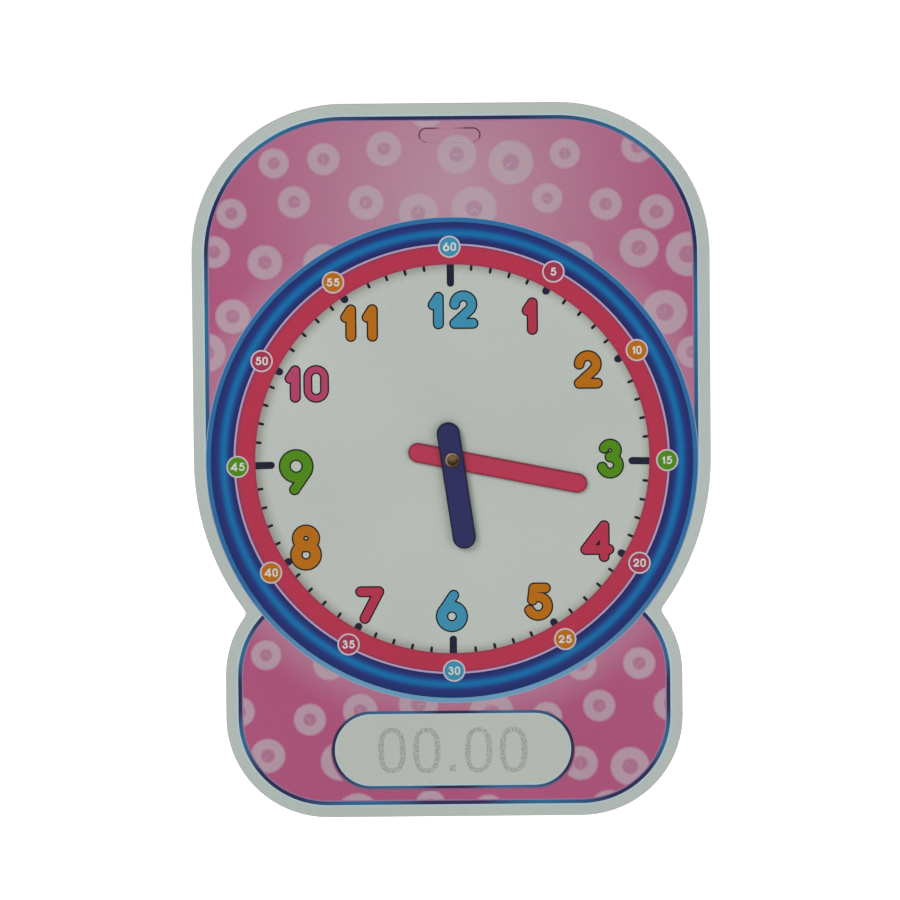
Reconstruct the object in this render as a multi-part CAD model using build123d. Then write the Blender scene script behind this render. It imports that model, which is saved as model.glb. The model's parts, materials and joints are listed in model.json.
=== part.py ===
from build123d import *
import os
from math import atan2, degrees, hypot, sqrt

# Printed panels of the card, in millimetres, measured from the pivot of the hands
DIAL_R = 99.0  # outer line of the dial ring, which the sides of the head panel run into
HEAD_RISE = 139.5  # pivot up to the top line of the head panel
HEAD_CORNER_R = 56.0
FOOT_W = 174.0
FOOT_DROP = 141.0  # pivot down to the bottom line of the foot panel
FOOT_H = 89.0  # the top of the foot panel runs in behind the dial
FOOT_CORNER_R = 36.0
CARD_MARGIN = 5.0  # bare border between the printed line and the cut edge
WAIST_R = 3.0  # round of the die in the two notches under the dial

# Plies of the card
BACK_T = 0.2
CORE_T = 1.3
FACE_T = 0.2
FILM_T = 0.1

# Hang slot and the tab that is pushed back out of it
SLOT_INSET = 12.75  # card's top edge down to the slot's middle
SLOT_W = 25.0
SLOT_H = 6.2
CUT_KERF = 0.15  # room left by the die, on top of the room for the tab's swing

# Hands, as strips of laminated card, with the time that they show
HOUR_TIP = 36.6  # pivot to the pointing end
HOUR_TAIL = 15.4
HOUR_W = 9.4
HOUR_CLOCK_DEG = 171.8  # clockwise from 12
MINUTE_TIP = 55.2
MINUTE_TAIL = 18.0
MINUTE_W = 7.9
MINUTE_CLOCK_DEG = 101.4
HAND_CORE_T = 0.8
HAND_FACE_T = 0.15
HAND_FILM_T = 0.1

# Semi-tubular rivet through the pivot
SHANK_R = 2.3
RIVET_WALL = 0.35  # wall of the hollow end
RIVET_FLOOR = 0.8  # card's back up to the bottom of the hollow
ROLL_OVERHANG = 0.7  # rolled rim beyond the shank
ROLL_H = 0.55
HEAD_OVERHANG = 1.9  # back head beyond the shank
HEAD_EDGE = 0.3
HEAD_DOME = 0.7
PIVOT_CLEARANCE = 0.05  # radial, between the shank and every hole on it
HAND_PLAY = 0.15  # along the pivot, between the faces that turn past each other

# Places that follow from the sizes above, with the slot's middle as the origin
PIVOT_Z = SLOT_INSET - CARD_MARGIN - HEAD_RISE
CARD_T = BACK_T + CORE_T + FACE_T + FILM_T
HAND_T = HAND_CORE_T + HAND_FACE_T + HAND_FILM_T
MINUTE_DEPTH = CARD_T + HAND_PLAY
HOUR_DEPTH = MINUTE_DEPTH + HAND_T + HAND_PLAY
ROLL_DEPTH = HOUR_DEPTH + HAND_T + HAND_PLAY
PIVOT_HOLE_R = SHANK_R + PIVOT_CLEARANCE
TAB_GAP = CUT_KERF + hypot(CARD_T, SLOT_H) - SLOT_H

CARD_PLIES = {
    "back_sheet": BACK_T,
    "core_board": CORE_T,
    "face_sheet": FACE_T,
    "face_film": FILM_T,
}
TAB_PLIES = {
    "hang_tab_back": BACK_T,
    "hang_tab_core": CORE_T,
    "hang_tab_face": FACE_T,
    "hang_tab_film": FILM_T,
}
HAND_PLIES = {"core": HAND_CORE_T, "face": HAND_FACE_T, "film": HAND_FILM_T}


def laminate(sketch, plies, depth):
    """One solid per ply of a flat sheet, back ply first, starting depth in front of the card's back."""
    solids = {}
    for name, thickness in plies.items():
        solids[name] = extrude(Plane.XZ.offset(depth) * sketch, amount=thickness)
        depth += thickness
    return solids


def waist_centre(dial_r, foot_corner, foot_r):
    """Middle of the arc in a waist notch, tangent to the dial's round and to the foot's corner."""
    apart = hypot(*foot_corner)
    to_dial = dial_r + WAIST_R
    to_foot = foot_r + WAIST_R
    along = (to_dial**2 - to_foot**2 + apart**2) / (2 * apart)
    across = sqrt(to_dial**2 - along**2)
    unit_x, unit_y = foot_corner[0] / apart, foot_corner[1] / apart
    return along * unit_x - across * unit_y, along * unit_y + across * unit_x


def card_outline():
    """Cut edge of the card about the pivot: head panel, dial and foot panel, joined by tangent arcs."""
    side = DIAL_R + CARD_MARGIN
    top = HEAD_RISE + CARD_MARGIN
    head_r = HEAD_CORNER_R + CARD_MARGIN
    foot_side = FOOT_W / 2 + CARD_MARGIN
    foot_r = FOOT_CORNER_R + CARD_MARGIN
    bottom = -FOOT_DROP - CARD_MARGIN
    shoulder = (foot_side - foot_r, FOOT_H - FOOT_DROP - FOOT_CORNER_R)
    heel = (foot_side - foot_r, bottom + foot_r)
    waist = waist_centre(side, shoulder, foot_r)
    dial_end = degrees(atan2(waist[1], waist[0]))
    shoulder_start = degrees(atan2(waist[1] - shoulder[1], waist[0] - shoulder[0]))
    half = [
        Line((0, top), (side - head_r, top)),
        CenterArc((side - head_r, top - head_r), head_r, 90, -90),
        Line((side, top - head_r), (side, 0)),
        CenterArc((0, 0), side, 0, dial_end),
        CenterArc(waist, WAIST_R, 180 + dial_end, shoulder_start - dial_end),
        CenterArc(shoulder, foot_r, shoulder_start, -shoulder_start),
        Line((foot_side, shoulder[1]), (foot_side, heel[1])),
        CenterArc(heel, foot_r, 0, -90),
        Line((heel[0], bottom), (0, bottom)),
    ]
    return make_face(half + [mirror(edge, about=Plane.YZ) for edge in half])


def card():
    """The four plies of the card, with the hang slot and the pivot hole cut through them all."""
    blank = Pos(0, PIVOT_Z) * (card_outline() - Circle(PIVOT_HOLE_R))
    return laminate(blank - SlotOverall(SLOT_W, SLOT_H), CARD_PLIES, 0)


def hang_tab():
    """The cut-out of the hang slot, held by its lower edge, where the card is only creased."""
    free = SlotOverall(SLOT_W - 2 * TAB_GAP, SLOT_H - 2 * TAB_GAP)
    hinge = Pos(0, -SLOT_H / 4) * Rectangle(SLOT_W - SLOT_H, SLOT_H / 2)
    return laminate(free + hinge, TAB_PLIES, 0)


def hand(name, tip, tail, width, clock_deg, depth):
    """A round-ended strip with a pivot hole, turned clockwise from 12 about the pivot."""
    strip = Pos(0, (tip - tail) / 2) * SlotOverall(tip + tail, width, rotation=90)
    placed = Pos(0, PIVOT_Z) * Rot(0, 0, -clock_deg) * (strip - Circle(PIVOT_HOLE_R))
    plies = {f"{name}_{ply}": thickness for ply, thickness in HAND_PLIES.items()}
    return laminate(placed, plies, depth)


def rivet():
    """The rivet as set: domed head behind the card, hollow shank, and its front end rolled over the hands."""
    head_r = SHANK_R + HEAD_OVERHANG
    head_top = HEAD_EDGE + HEAD_DOME
    bore_r = SHANK_R - RIVET_WALL
    roll_r = SHANK_R + ROLL_OVERHANG
    profile = [
        TangentArc((0, head_top), (head_r, HEAD_EDGE), tangent=(1, 0)),
        Polyline((head_r, HEAD_EDGE), (head_r, 0), (SHANK_R, 0)),
        Polyline((SHANK_R, 0), (SHANK_R, -ROLL_DEPTH), (roll_r, -ROLL_DEPTH)),
        ThreePointArc(
            (roll_r, -ROLL_DEPTH),
            ((roll_r + bore_r) / 2, -ROLL_DEPTH - ROLL_H),
            (bore_r, -ROLL_DEPTH),
        ),
        Polyline((bore_r, -ROLL_DEPTH), (bore_r, -RIVET_FLOOR), (0, -RIVET_FLOOR), (0, head_top)),
    ]
    return {"rivet": Pos(0, 0, PIVOT_Z) * revolve(make_face(profile), Axis.Y)}


def teaching_clock():
    """Every piece of the clock by its node name."""
    return {
        **card(),
        **hang_tab(),
        **hand("minute_hand", MINUTE_TIP, MINUTE_TAIL, MINUTE_W, MINUTE_CLOCK_DEG, MINUTE_DEPTH),
        **hand("hour_hand", HOUR_TIP, HOUR_TAIL, HOUR_W, HOUR_CLOCK_DEG, HOUR_DEPTH),
        **rivet(),
    }


os.makedirs("parts", exist_ok=True)
for node, piece in teaching_clock().items():
    piece.label = node
    export_step(piece, f"parts/{node}.step")
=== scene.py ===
import json
import logging
import math
from dataclasses import dataclass
from enum import Enum
from functools import lru_cache
from itertools import product
from typing import Optional, Sequence, Union

import bmesh
import bpy
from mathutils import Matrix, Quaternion, Vector
from mathutils.geometry import delaunay_2d_cdt


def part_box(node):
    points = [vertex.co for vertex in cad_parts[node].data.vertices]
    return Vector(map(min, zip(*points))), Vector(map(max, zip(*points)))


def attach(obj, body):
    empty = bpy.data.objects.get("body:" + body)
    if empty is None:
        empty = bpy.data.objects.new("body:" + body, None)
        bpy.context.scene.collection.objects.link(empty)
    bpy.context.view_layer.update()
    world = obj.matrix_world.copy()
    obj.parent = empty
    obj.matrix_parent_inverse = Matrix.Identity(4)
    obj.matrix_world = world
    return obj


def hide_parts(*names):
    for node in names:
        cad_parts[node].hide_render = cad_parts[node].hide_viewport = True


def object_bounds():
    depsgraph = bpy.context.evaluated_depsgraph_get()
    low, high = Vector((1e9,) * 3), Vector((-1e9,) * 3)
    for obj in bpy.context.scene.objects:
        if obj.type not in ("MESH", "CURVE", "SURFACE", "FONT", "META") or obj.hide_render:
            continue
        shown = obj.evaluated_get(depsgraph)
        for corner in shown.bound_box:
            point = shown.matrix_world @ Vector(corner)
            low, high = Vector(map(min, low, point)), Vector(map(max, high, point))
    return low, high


# Looks of a flat teaching clock: a printed and laminated card with two hands on a rivet
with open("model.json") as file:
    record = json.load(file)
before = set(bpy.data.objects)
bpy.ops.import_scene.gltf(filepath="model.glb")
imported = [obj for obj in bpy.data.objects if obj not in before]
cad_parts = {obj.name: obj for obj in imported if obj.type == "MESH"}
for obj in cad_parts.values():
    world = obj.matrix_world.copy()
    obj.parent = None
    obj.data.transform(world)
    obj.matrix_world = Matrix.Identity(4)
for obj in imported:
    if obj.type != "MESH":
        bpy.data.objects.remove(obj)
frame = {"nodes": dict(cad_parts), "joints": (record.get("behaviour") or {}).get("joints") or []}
CAD_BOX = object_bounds()
log = logging.getLogger("teaching_clock")

Point = tuple[float, float]
Path = list[Point]
Colour = tuple[float, float, float, float]
Tree = bpy.types.NodeTree
Socket = bpy.types.NodeSocket

MM = 0.001
CHORD_SAG = 0.02  # mm that a round printed edge may fall inside its true line
SAME_PLACE = 0.001  # mm within which two points of a mesh count as one
SAME_CORNER = 0.0001  # mm within which two corners of printed areas count as one
MITRE_LIMIT = 0.3  # keeps a sharp corner from running far out when its edges are moved
WAVE = math.pi / 10  # length of one wave of the wave texture at a scale of 1
PIVOT = Vector(next(j["pos_m"] for j in frame["joints"] if j["name"] == "minute_hand_turn"))


def linear(hex_colour: str) -> Colour:
    """Turn an sRGB hex value into the linear colour that shaders take.

    Args:
        hex_colour: The colour as "#RRGGBB".

    Returns:
        Linear red, green and blue with an alpha of 1.
    """
    shades = [int(hex_colour[i : i + 2], 16) / 255 for i in (1, 3, 5)]
    red, green, blue = (s / 12.92 if s <= 0.04045 else ((s + 0.055) / 1.055) ** 2.4 for s in shades)
    return red, green, blue, 1.0


def add_node(
    tree: Tree,
    kind: str,
    inputs: Optional[dict] = None,
    output: Union[int, str] = 0,
    stops: Sequence[tuple[float, str]] = (),
    **settings: object,
) -> Optional[Socket]:
    """Add one shader node with its settings and links.

    Args:
        tree: The node tree of a material or of the world.
        kind: The node's type, without the ShaderNode in front.
        inputs: A value, or the output to link, for each input by name or number.
        output: Name or number of the output that is wanted.
        stops: Places and hex colours along a colour ramp.
        settings: The node's own properties.

    Returns:
        The wanted output, or None from a node that has no outputs.
    """
    node = tree.nodes.new("ShaderNode" + kind)
    for name, value in settings.items():
        setattr(node, name, value)
    for name, value in (inputs or {}).items():
        if isinstance(value, Socket):
            tree.links.new(value, node.inputs[name])
        else:
            node.inputs[name].default_value = value
    for place, _ in stops[2:]:  # a new ramp has two stops already
        node.color_ramp.elements.new(place)
    for element, (place, colour) in zip(node.color_ramp.elements if stops else (), stops):
        element.position, element.color = place, linear(colour)
    return node.outputs[output] if node.outputs else None


def new_material(name: str) -> tuple[bpy.types.Material, Tree]:
    """Make an empty node material.

    Args:
        name: What the real material is, and how its surface was made.

    Returns:
        The material and its node tree.
    """
    material = bpy.data.materials.new(name)
    material.use_nodes = True
    material.node_tree.nodes.clear()
    return material, material.node_tree


def on_the_card(tree: Tree) -> Socket:
    """Find each point's place on the flat card.

    Args:
        tree: The material's node tree.

    Returns:
        The place in metres: right and up from the pivot, then depth.
    """
    spot = add_node(tree, "TexCoord", output="Object")
    turned = {"Vector": spot, "Location": (0, -PIVOT.z, 0), "Rotation": (-math.pi / 2, 0, 0)}
    return add_node(tree, "Mapping", turned)


def way_from(tree: Tree, place: Socket, centre: Point, stretch: float = 1.0) -> Socket:
    """Find which way, and how far, each point lies from a spot on the card.

    Args:
        tree: The material's node tree.
        place: The point's place on the card.
        centre: The spot, in millimetres from the pivot.
        stretch: What heights are multiplied by.

    Returns:
        The way from the spot to the point in metres, without depth.
    """
    x, y = centre
    flat = {0: place, 1: (1.0, stretch, 0.0), 2: (-x * MM, -y * stretch * MM, 0.0)}
    return add_node(tree, "VectorMath", flat, operation="MULTIPLY_ADD")


def per_metre(size_mm: float) -> float:
    """Return the texture scale of a pattern whose grain has this size."""
    return 1 / (size_mm * MM)


@dataclass(frozen=True)
class Spread:
    """The low and high of a pattern, and the values that they are turned into."""

    low: float
    high: float
    at_low: float = 0.0
    at_high: float = 1.0

    def of(self, pattern: Socket) -> dict[int, Union[Socket, float]]:
        """Return the inputs, by number, of the node that turns one range into another."""
        return {0: pattern, 1: self.low, 2: self.high, 3: self.at_low, 4: self.at_high}


@dataclass(frozen=True)
class FilmedPrint:
    """Offset print on coated paper, under a gloss film that was rolled on hot.

    The eye sees an even ink with a faint grain and a slow drift of tone, a few stray specks, and over
    them a clear skin whose slight waves and wipe marks break up what it mirrors.
    """

    name: str
    colour: str = "#FFFFFF"
    grain_mm: float = 0.9  # paper grain, drawn about three times as coarse as real so that it shows
    grain_detail: float = 3.0
    grain: Spread = Spread(0.25, 0.75, 0.96, 1.04)
    drift_mm: float = 70.0
    drift_detail: float = 1.0
    drift: Spread = Spread(0.3, 0.7, 0.97, 1.03)
    speck_spacing_mm: float = 34.0
    speck_r_mm: float = 0.22
    speck_core: float = 0.6  # share of its radius over which a speck is darkest
    speck_tone: float = 0.5
    wipe_mm: float = 26.0
    wipe_squeeze: float = 0.35  # below 1, so that wipe marks run sideways
    wipe: Spread = Spread(0.35, 0.7, 0.13, 0.24)  # roughness of the wiped film
    wave_mm: float = 2.6
    wave_height_mm: float = 0.006
    film_ior: float = 1.49
    film_gloss: float = 0.12  # low, so that white surroundings veil the inks only a little

    def tint(self, tree: Tree, place: Socket) -> Union[Socket, Colour]:
        """Return the ink's colour before the paper's grain."""
        return linear(self.colour)

    def tone(self, tree: Tree, place: Socket) -> Socket:
        """Work out how light the print is at each point.

        Args:
            tree: The material's node tree.
            place: The point's place on the card.

        Returns:
            A factor of about 1, from paper grain, slow drift and stray specks.
        """
        cells = {"Vector": place, "Scale": per_metre(self.speck_spacing_mm)}
        spot = add_node(tree, "TexVoronoi", cells, "Distance", voronoi_dimensions="2D")
        radius = self.speck_r_mm / self.speck_spacing_mm
        speck = Spread(self.speck_core * radius, radius, self.speck_tone)
        tone = add_node(tree, "MapRange", speck.of(spot))
        for size_mm, detail, spread in (
            (self.grain_mm, self.grain_detail, self.grain),
            (self.drift_mm, self.drift_detail, self.drift),
        ):
            clouds = {"Vector": place, "Scale": per_metre(size_mm), "Detail": detail}
            shade = add_node(tree, "MapRange", spread.of(add_node(tree, "TexNoise", clouds)))
            tone = add_node(tree, "Math", {0: tone, 1: shade}, operation="MULTIPLY")
        return tone

    def build(self) -> bpy.types.Material:
        """Make the material.

        Returns:
            The ink under its film.
        """
        material, tree = new_material(self.name)
        place = on_the_card(tree)
        ink = {0: 1.0, 1: self.tint(tree, place), 2: self.tone(tree, place)}
        swept = add_node(tree, "Mapping", {"Vector": place, "Scale": (self.wipe_squeeze, 1.0, 1.0)})
        wiped = {"Vector": swept, "Scale": per_metre(self.wipe_mm), "Detail": 4.0}
        waves = {"Vector": place, "Scale": per_metre(self.wave_mm), "Detail": 2.0}
        height = add_node(tree, "TexNoise", waves)
        skin = {"Height": height, "Distance": self.wave_height_mm * MM, "Strength": 1.0}
        surface = {
            "Base Color": add_node(tree, "MixRGB", ink, blend_type="MULTIPLY"),
            "Roughness": add_node(tree, "MapRange", self.wipe.of(add_node(tree, "TexNoise", wiped))),
            "IOR": self.film_ior,
            "Specular IOR Level": self.film_gloss,
            "Normal": add_node(tree, "Bump", skin),
        }
        add_node(tree, "OutputMaterial", {"Surface": add_node(tree, "BsdfPrincipled", surface)})
        return material


@dataclass(frozen=True)
class RoundFade(FilmedPrint):
    """A print that changes with the distance from a spot, as the raised look of the dial's rings does."""

    stops: tuple[tuple[float, str], ...] = ()  # distances in millimetres, with the colour at each
    centre: Point = (0.0, 0.0)

    def tint(self, tree: Tree, place: Socket) -> Socket:
        """Colour each point by its distance from the fade's middle.

        Args:
            tree: The material's node tree.
            place: The point's place on the card.

        Returns:
            The colour before the paper's grain.
        """
        way = way_from(tree, place, self.centre)
        reach = add_node(tree, "VectorMath", {0: way}, "Value", operation="LENGTH")
        inner, outer = self.stops[0][0], self.stops[-1][0]
        share = add_node(tree, "MapRange", Spread(inner * MM, outer * MM).of(reach))
        stops = [((radius - inner) / (outer - inner), colour) for radius, colour in self.stops]
        return add_node(tree, "ValToRGB", {0: share}, stops=stops)


@dataclass(frozen=True)
class PanelFade(FilmedPrint):
    """Pink of the panels, which pales towards the dial and towards the middle of the head."""

    pale: str = "#FFFFFF"
    middle: Point = (0.0, 108.0)
    middle_reach: Point = (-30.0, 120.0)  # from the palest to the deepest, from the head's middle
    dial_reach: Point = (98.0, 114.0)  # the same, from the pivot
    dial_depth: float = 0.6  # share of the deep tone that is left beside the dial

    def tint(self, tree: Tree, place: Socket) -> Socket:
        """Colour each point by the nearer of the two pale places.

        Args:
            tree: The material's node tree.
            place: The point's place on the card.

        Returns:
            The colour before the paper's grain.
        """
        fades = []
        places = (((0.0, 0.0), self.dial_reach, self.dial_depth), (self.middle, self.middle_reach, 0.0))
        for centre, (near, far), least in places:
            way = way_from(tree, place, centre)
            reach = add_node(tree, "VectorMath", {0: way}, "Value", operation="LENGTH")
            span = Spread(near * MM, far * MM, least).of(reach)
            fades.append(add_node(tree, "MapRange", span, interpolation_type="SMOOTHSTEP"))
        depth = add_node(tree, "Math", {0: fades[0], 1: fades[1]}, operation="MINIMUM")
        return add_node(tree, "MixRGB", {0: depth, 1: linear(self.pale), 2: linear(self.colour)})


@dataclass(frozen=True)
class LineFade(FilmedPrint):
    """Line round a panel that turns from navy to bright blue and back several times, like a metal edge."""

    bright: str = "#FFFFFF"
    centre: Point = (0.0, 0.0)
    stretch: float = 1.0  # upright stretch that makes the panel about as high as it is wide
    spokes: int = 4  # bright places in a full turn, an even number
    bright_from: float = 0.5  # height of the wave where the blue begins; below 1, dark runs are longer

    def tint(self, tree: Tree, place: Socket) -> Socket:
        """Colour each point by the direction in which it lies from the panel's middle.

        Args:
            tree: The material's node tree.
            place: The point's place on the card.

        Returns:
            The colour before the paper's grain.
        """
        way = way_from(tree, place, self.centre, self.stretch)
        turn = add_node(tree, "TexGradient", {"Vector": way}, "Fac", gradient_type="RADIAL")
        angle = add_node(tree, "Math", {0: turn, 1: math.tau * self.spokes}, operation="MULTIPLY")
        wave = add_node(tree, "Math", {0: angle}, operation="COSINE")
        share = add_node(tree, "MapRange", Spread(self.bright_from, -1.0).of(wave))
        return add_node(tree, "MixRGB", {0: share, 1: linear(self.colour), 2: linear(self.bright)})


@dataclass(frozen=True)
class DottedPrint(FilmedPrint):
    """Grey of the example time, printed in loose dots so that it can be traced over."""

    gap_colour: str = "#FFFFFF"
    dot_mm: float = 0.75
    dot_edge: Spread = Spread(0.3, 0.6)

    def tint(self, tree: Tree, place: Socket) -> Socket:
        """Colour each point as a grey dot or as the bare sheet between dots.

        Args:
            tree: The material's node tree.
            place: The point's place on the card.

        Returns:
            The colour before the paper's grain.
        """
        cells = {"Vector": place, "Scale": per_metre(self.dot_mm)}
        spots = add_node(tree, "TexVoronoi", cells, "Distance", voronoi_dimensions="2D")
        share = add_node(tree, "MapRange", self.dot_edge.of(spots))
        return add_node(tree, "MixRGB", {0: share, 1: linear(self.colour), 2: linear(self.gap_colour)})


@dataclass(frozen=True)
class PulpBoard:
    """Board or paper of pressed pulp, die cut and left bare.

    The eye sees a dull, dry surface with short fibres that lie along the sheet, so a cut edge shows
    fine layers and a face shows a soft cloudy grain.
    """

    name: str
    colour: str
    dark: str
    layer_mm: float
    fibre_mm: float = 2.4
    cloud_mm: float = 18.0
    cloud_share: float = 0.35
    shade: Spread = Spread(0.4, 0.95)
    nap_mm: float = 0.03
    nap_strength: float = 0.6
    roughness: float = 0.86
    gloss: float = 0.25

    def build(self) -> bpy.types.Material:
        """Make the material.

        Returns:
            The bare pulp surface.
        """
        material, tree = new_material(self.name)
        place = on_the_card(tree)
        squeeze = (1.0, 1.0, self.fibre_mm / self.layer_mm)
        lying = add_node(tree, "Mapping", {"Vector": place, "Scale": squeeze})
        along = {"Vector": lying, "Scale": per_metre(self.fibre_mm), "Detail": 6.0, "Roughness": 0.65}
        fibres = add_node(tree, "TexNoise", along)
        slow = {"Vector": place, "Scale": per_metre(self.cloud_mm), "Detail": 2.0}
        both = {0: add_node(tree, "TexNoise", slow), 1: self.cloud_share, 2: fibres}
        mottle = add_node(tree, "Math", both, operation="MULTIPLY_ADD")
        share = add_node(tree, "MapRange", self.shade.of(mottle))
        nap = {"Height": fibres, "Distance": self.nap_mm * MM, "Strength": self.nap_strength}
        surface = {
            "Base Color": add_node(tree, "MixRGB", {0: share, 1: linear(self.dark), 2: linear(self.colour)}),
            "Roughness": self.roughness,
            "Specular IOR Level": self.gloss,
            "Normal": add_node(tree, "Bump", nap),
        }
        add_node(tree, "OutputMaterial", {"Surface": add_node(tree, "BsdfPrincipled", surface)})
        return material


@dataclass(frozen=True)
class SetBrass:
    """Brass of a rivet, rolled over by a turning setting tool.

    The eye sees a dull yellow rim with fine round tool marks and brown stains, with painted light and shade
    over it: paler towards the upper left and darker towards the lower right, as light from the upper left
    falls, and an even tarnish deep in the hollow.
    """

    name: str
    bright: str
    stain: str
    tarnish: str
    lean: Point = (0.8, -0.6)  # direction across the rim, from its painted lit side to its painted shaded side
    rim_mm: float = 3.0
    stain_mm: float = 3.0
    stain_share: float = 0.8  # how much the stains count beside the painted light and shade
    wear: Spread = Spread(0.65, 1.15)
    burnish: Spread = Spread(0.3, 0.7, 0.2, 0.42)  # roughness that the tool left
    hollow_mm: tuple[float, float, float] = (0.3, 0.8, 4.5)  # under its floor, its floor, end of the tarnish
    tool_mark_mm: float = 0.5  # drawn about twice as coarse as real so that it shows
    tool_mark_depth_mm: float = 0.01
    tool_mark_strength: float = 0.5
    tool_mark_wander: float = 0.6

    def build(self) -> bpy.types.Material:
        """Make the material.

        Returns:
            The worked and slightly tarnished brass.
        """
        material, tree = new_material(self.name)
        place = on_the_card(tree)
        clouds = {"Vector": place, "Scale": per_metre(self.stain_mm), "Detail": 4.0}
        stains = add_node(tree, "TexNoise", clouds)
        # Painted light and shade: the rim pales towards the upper left and darkens towards the lower right,
        # on top of real brown stains
        lean = {0: place, 1: (*self.lean, 0.0)}
        across = add_node(tree, "VectorMath", lean, "Value", operation="DOT_PRODUCT")
        painted_light_share = add_node(tree, "MapRange", Spread(-self.rim_mm * MM, self.rim_mm * MM).of(across))
        both = {0: stains, 1: self.stain_share, 2: painted_light_share}
        stained_and_shaded = add_node(tree, "Math", both, operation="MULTIPLY_ADD")
        share = add_node(tree, "MapRange", self.wear.of(stained_and_shaded))
        rim = add_node(tree, "MixRGB", {0: share, 1: linear(self.bright), 2: linear(self.stain)})
        depth = add_node(tree, "SeparateXYZ", {0: place}, "Z")
        under, floor, top = (level * MM for level in self.hollow_mm)
        inside = add_node(tree, "MapRange", Spread(under, floor).of(depth))
        deep = add_node(tree, "MapRange", Spread(floor, top, 1.0, 0.0).of(depth))
        hollow = add_node(tree, "Math", {0: inside, 1: deep}, operation="MULTIPLY")
        rings = {
            "Vector": place,
            "Scale": per_metre(self.tool_mark_mm) * WAVE,
            "Distortion": self.tool_mark_wander,
            "Detail": 2.0,
        }
        marks = {
            "Height": add_node(tree, "TexWave", rings, "Fac", wave_type="RINGS", rings_direction="Z"),
            "Distance": self.tool_mark_depth_mm * MM,
            "Strength": self.tool_mark_strength,
        }
        surface = {
            "Base Color": add_node(tree, "MixRGB", {0: hollow, 1: rim, 2: linear(self.tarnish)}),
            "Metallic": 1.0,
            "Roughness": add_node(tree, "MapRange", self.burnish.of(stains)),
            "Normal": add_node(tree, "Bump", marks),
        }
        add_node(tree, "OutputMaterial", {"Surface": add_node(tree, "BsdfPrincipled", surface)})
        return material


class Ink(Enum):
    """Printed colours of the card and of the hands, each under the gloss film, with painted shade along the
    die cut and the hands' edges.
    """

    SHEET = FilmedPrint("bare_white_sheet_under_film", "#AEB6B2")
    PINK = PanelFade("pink_print_under_film", "#A64F76", pale="#AE8B9C")
    PALE = PanelFade("pale_pink_print_under_film", "#AD909E", pale="#AE98A2")
    PALE_EDGE = PanelFade("pale_pink_halftone_under_film", "#AB7690", pale="#AE93A0")
    EYE = PanelFade("dull_pink_print_under_film", "#A16E87", pale="#A68598")
    HEAD_LINE = LineFade(
        "navy_to_blue_head_line_under_film",
        "#242550",
        bright="#2A6289",
        centre=(0.0, 97.0),
        stretch=2.34,
    )
    FOOT_LINE = LineFade(
        "navy_to_blue_foot_line_under_film",
        "#27254F",
        bright="#2A6289",
        centre=(0.0, -96.5),
        stretch=1.96,
        spokes=8,
    )
    FIELD_LINE = LineFade(
        "navy_to_blue_field_line_under_film",
        "#272246",
        bright="#365F86",
        centre=(-0.72, -118.6),
        stretch=1.45,
    )
    LINE_HALO = FilmedPrint("pale_cyan_halo_under_film", "#A8C0C8")
    RIM_HALO = FilmedPrint("pale_blue_halo_under_film", "#8A9AB2")
    LILAC = FilmedPrint("lilac_line_under_film", "#A796BA")
    MAUVE = FilmedPrint("mauve_fade_under_film", "#8F7096")
    RIM_BLUE = RoundFade(
        "blue_rim_paling_downwards_under_film",
        stops=((460.0, "#28659A"), (495.0, "#6696B6")),
        centre=(0.0, 400.0),
    )
    RING = RoundFade(
        "shaded_blue_ring_under_film",
        stops=(
            (87.8, "#191F58"),
            (89.5, "#1C2D6E"),
            (90.5, "#124A89"),
            (91.8, "#086AA4"),
            (93.0, "#095996"),
            (94.0, "#14397A"),
            (95.0, "#20296C"),
            (97.0, "#0B2966"),
        ),
    )
    CRIMSON = RoundFade(
        "crimson_ring_under_film",
        stops=((79.2, "#93304A"), (80.4, "#AC2E48"), (85.4, "#AC2E48"), (86.8, "#8E3350")),
    )
    DIAL = RoundFade(
        "white_dial_with_printed_shade_under_film",
        stops=((74.9, "#B3B9B3"), (76.2, "#ACB2AC"), (77.2, "#A6ABA4"), (78.2, "#9B9D97"), (79.6, "#908F8A")),
        centre=(0.7, -0.1),
    )
    BLACK = FilmedPrint("black_print_under_film", "#0A0E1E")
    BAR = FilmedPrint("blue_black_print_under_film", "#14172F")
    OUTLINE = FilmedPrint("black_outline_under_film", "#100C12")
    SKY = FilmedPrint("sky_blue_print_under_film", "#3687A6")
    ROSE = FilmedPrint("rose_red_print_under_film", "#A92E47")
    ORANGE = FilmedPrint("orange_print_under_film", "#AE6603")
    GREEN = FilmedPrint("leaf_green_print_under_film", "#4A830B")
    MAGENTA = FilmedPrint("magenta_print_under_film", "#A63C62")
    BADGE_RIM = FilmedPrint("badge_rim_under_film", "#BDB4BC")
    BADGE_RED = FilmedPrint("badge_red_print_under_film", "#9A2F4F")
    BADGE_FIGURE = FilmedPrint("white_badge_figures_under_film", "#C8CAC6")
    FIELD = FilmedPrint("bare_white_field_under_film", "#B2B7B1")
    DOTTED = DottedPrint("dotted_grey_print_under_film", "#929795", gap_colour="#ABB0AC")
    FIELD_SHADE = FilmedPrint("deep_pink_shade_under_film", "#93557A")
    # Painted shadow of the hang tab's narrow die cut, dark along its top and ends and fainter where it runs
    # out
    CUT = FilmedPrint("painted_shadow_along_the_die_cut", "#5A3846")
    CUT_END = FilmedPrint("faint_painted_shadow_where_the_die_cut_ends", "#8A5C70")
    HAND_RED = FilmedPrint("crimson_hand_print_under_film", "#AE344E")
    # The hands' edge inks are painted shade, darker bands along the rounded edges where less light falls
    HAND_RED_EDGE = FilmedPrint("crimson_hand_print_with_painted_edge_shade", "#852A40")
    HAND_NAVY = FilmedPrint("navy_hand_print_under_film", "#272858")
    HAND_NAVY_EDGE = FilmedPrint("navy_hand_print_with_painted_edge_shade", "#171936")


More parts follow.
